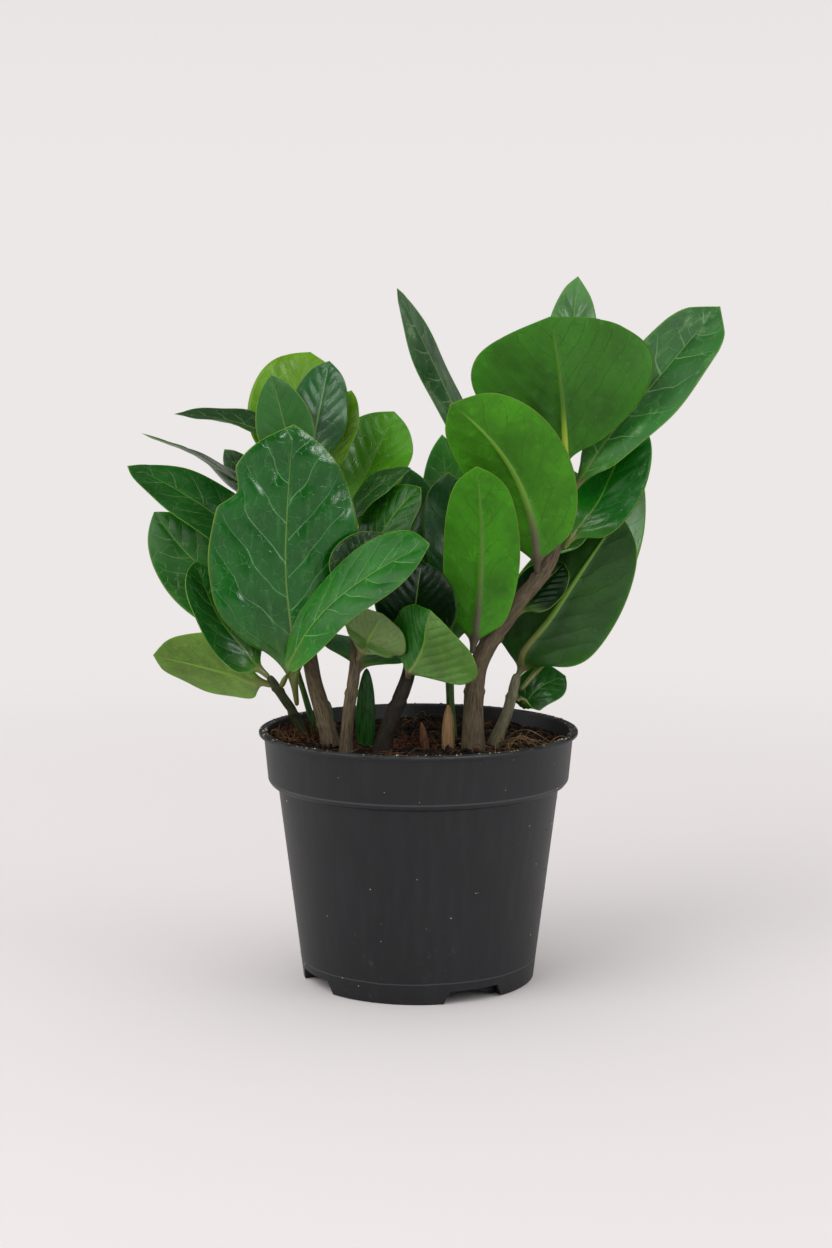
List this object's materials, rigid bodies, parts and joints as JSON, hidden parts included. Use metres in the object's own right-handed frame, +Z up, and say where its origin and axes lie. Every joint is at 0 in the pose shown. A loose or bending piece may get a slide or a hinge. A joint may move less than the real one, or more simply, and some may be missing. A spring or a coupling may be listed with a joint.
{
  "type": "potted zz plant",
  "caption": "Bushy young ZZ plant with broad glossy leaves on short woody stems, growing in a plain round charcoal nursery pot.",
  "frame": {"origin": "middle of the pot's flat underside, on the surface that it stands on", "axes": "+Z up along the pot's axis; -Y is the front of the plant, with its largest left leaf; +X is to the right seen from the front"},
  "size_m": [0.2452, 0.1309, 0.286],
  "materials": {
    "pot_plastic": "moulded charcoal polypropylene, satin with a fine grain",
    "soil_earth": "dark brown potting mix of peat, coir fibre and bark crumbs",
    "rhizome_skin": "pale corky skin",
    "stem_bark": "grey-brown, finely streaked lengthwise",
    "stem_green": "smooth green skin",
    "bract_paper": "dry tan papery sheath",
    "leaf_deep": "glossy waxy upper side, deep green",
    "leaf_bright": "satin waxy, fresh mid green",
    "leaf_lime": "satin waxy, yellow-green",
    "leaf_dull": "matte blue-green",
    "leaf_pale": "matte pale grey-green underside",
    "leaf_dark": "glossy, dark green"
  },
  "bodies": {
    "root": {"pot": "pot_plastic", "soil": "soil_earth", "rhizome_back": "rhizome_skin", "rhizome_left": "rhizome_skin", "rhizome_middle": "rhizome_skin", "rhizome_right": "rhizome_skin", "stem_1": "stem_bark", "stem_2": "stem_green", "stem_3": "stem_bark", "stem_4": "stem_bark", "stem_5": "stem_bark", "stem_6": "stem_bark", "stem_7": "stem_bark", "stem_8": "stem_green", "leaf_back_left": "leaf_deep", "leaf_back_middle": "leaf_deep", "leaf_back_right": "leaf_deep", "leaf_back_tall": "leaf_deep", "leaf_centre_cupped": "leaf_bright", "leaf_centre_deep": "leaf_dark", "leaf_centre_edged": "leaf_dark", "leaf_centre_shaded": "leaf_dark", "leaf_centre_spear": "leaf_dull", "leaf_centre_tall": "leaf_dark", "leaf_centre_wedge": "leaf_bright", "leaf_crown_back": "leaf_dark", "leaf_crown_blue": "leaf_deep", "leaf_crown_grey": "leaf_dull", "leaf_crown_lime": "leaf_lime", "leaf_crown_right": "leaf_lime", "leaf_left_blade": "leaf_dark", "leaf_left_broad": "leaf_deep", "leaf_left_crossing": "leaf_bright", "leaf_left_folded": "leaf_bright", "leaf_left_low": "leaf_pale", "leaf_left_middle": "leaf_bright", "leaf_left_narrow": "leaf_dark", "leaf_left_spear": "leaf_dark", "leaf_left_upper": "leaf_deep", "leaf_low_curled": "leaf_pale", "leaf_low_folded": "leaf_bright", "leaf_right_back": "leaf_bright", "leaf_right_edge": "leaf_dull", "leaf_right_fan": "leaf_bright", "leaf_right_front": "leaf_bright", "leaf_right_glossy": "leaf_deep", "leaf_right_hem": "leaf_bright", "leaf_right_inner": "leaf_bright", "leaf_right_inset": "leaf_dark", "leaf_right_long": "leaf_deep", "leaf_right_low": "leaf_dull", "leaf_right_spear": "leaf_deep", "sprout_blade": "leaf_dull", "sprout_green": "leaf_bright", "sprout_papery": "bract_paper", "sprout_sheath": "bract_paper"}
  },
  "joints": []
}
